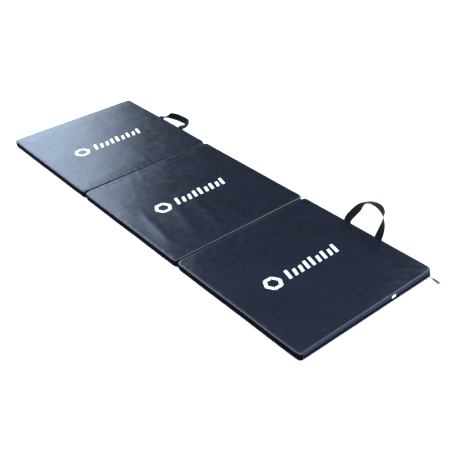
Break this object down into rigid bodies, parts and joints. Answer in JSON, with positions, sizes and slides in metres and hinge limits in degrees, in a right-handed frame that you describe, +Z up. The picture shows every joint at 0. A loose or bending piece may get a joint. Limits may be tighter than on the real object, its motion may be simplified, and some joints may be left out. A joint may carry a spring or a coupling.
{
  "type": "folding gym mat",
  "caption": "Accordion-folding exercise mat of square padded panels with a coated fabric cover, webbing carrying handles and a zipped end wall.",
  "frame": {"origin": "centre of the middle panel's resting face, on the floor", "axes": "+X along the open mat from the left panel to the right, zipped panel; +Y across it towards the carrying handles; +Z up"},
  "size_m": [1.8759, 0.6916, 0.1333],
  "materials": {
    "cover": "satin",
    "cover_underside": "matte",
    "foam": "matte",
    "webbing": "matte",
    "thread": "satin",
    "zip_tape": "matte",
    "zip_coil": "satin",
    "zip_metal": "satin",
    "label": "matte",
    "print": "satin"
  },
  "bodies": {
    "middle_panel": {"middle_foam_core": "foam", "middle_top_sheet": "cover", "middle_bottom_sheet": "cover_underside", "middle_front_gusset": "cover", "middle_back_gusset": "cover", "middle_left_fold_wall": "cover", "middle_right_fold_wall": "cover", "fold_1_hinge_strip": "cover", "fold_2_hinge_strip": "cover_underside"},
    "left_panel": {"left_foam_core": "foam", "left_top_sheet": "cover", "left_bottom_sheet": "cover_underside", "left_front_gusset": "cover", "left_back_gusset": "cover", "left_end_wall": "cover", "left_fold_wall": "cover", "left_handle_sewn_ends": "webbing"},
    "right_panel": {"right_foam_core": "foam", "right_top_sheet": "cover", "right_bottom_sheet": "cover_underside", "right_front_gusset": "cover", "right_back_gusset": "cover", "right_fold_wall": "cover", "right_end_wall_upper": "cover", "right_end_wall_lower": "cover", "zip_tape_upper": "zip_tape", "zip_tape_lower": "zip_tape", "zip_coil_upper": "zip_coil", "zip_coil_lower": "zip_coil", "zip_top_stops": "zip_metal", "zip_bottom_stop": "zip_metal", "blank_label": "label", "right_handle_sewn_ends": "webbing"},
    "left_handle": {"left_handle_webbing": "webbing"},
    "right_handle": {"right_handle_webbing": "webbing"},
    "zip_slider": {"zip_slider_body": "zip_metal", "zip_slider_bridge": "zip_metal"},
    "zip_link": {"zip_pull_link": "zip_metal"},
    "zip_pull": {"zip_pull_tab": "zip_metal"}
  },
  "joints": [
    {"name": "fold_1", "type": "hinge", "parent": "middle_panel", "child": "left_panel", "pos_m": [-0.306, 0, 0.034], "axis": [0, 1, 0], "range_deg": [0, 180]},
    {"name": "fold_2", "type": "hinge", "parent": "middle_panel", "child": "right_panel", "pos_m": [0.306, 0, -0.0006], "axis": [0, 1, 0], "range_deg": [0, 180]},
    {"name": "left_handle_swing", "type": "hinge", "parent": "left_panel", "child": "left_handle", "pos_m": [-0.566, 0.308, 0.033], "axis": [1, 0, 0], "range_deg": [0, 84]},
    {"name": "right_handle_swing", "type": "hinge", "parent": "right_panel", "child": "right_handle", "pos_m": [0.603, 0.308, 0.033], "axis": [1, 0, 0], "range_deg": [-79, 90]},
    {"name": "zip_slide", "type": "slide", "parent": "right_panel", "child": "zip_slider", "axis": [0, 1, 0], "range_m": [-0.567, 0]},
    {"name": "zip_link_lift", "type": "hinge", "parent": "zip_slider", "child": "zip_link", "pos_m": [0.92145, 0.2835, 0.012], "axis": [0, -1, 0], "range_deg": [0, 100]},
    {"name": "zip_pull_swing", "type": "hinge", "parent": "zip_link", "child": "zip_pull", "pos_m": [0.9275, 0.2835, 0.01032], "axis": [0.2672, 0, 0.9636], "range_deg": [-81, 64]}
  ]
}
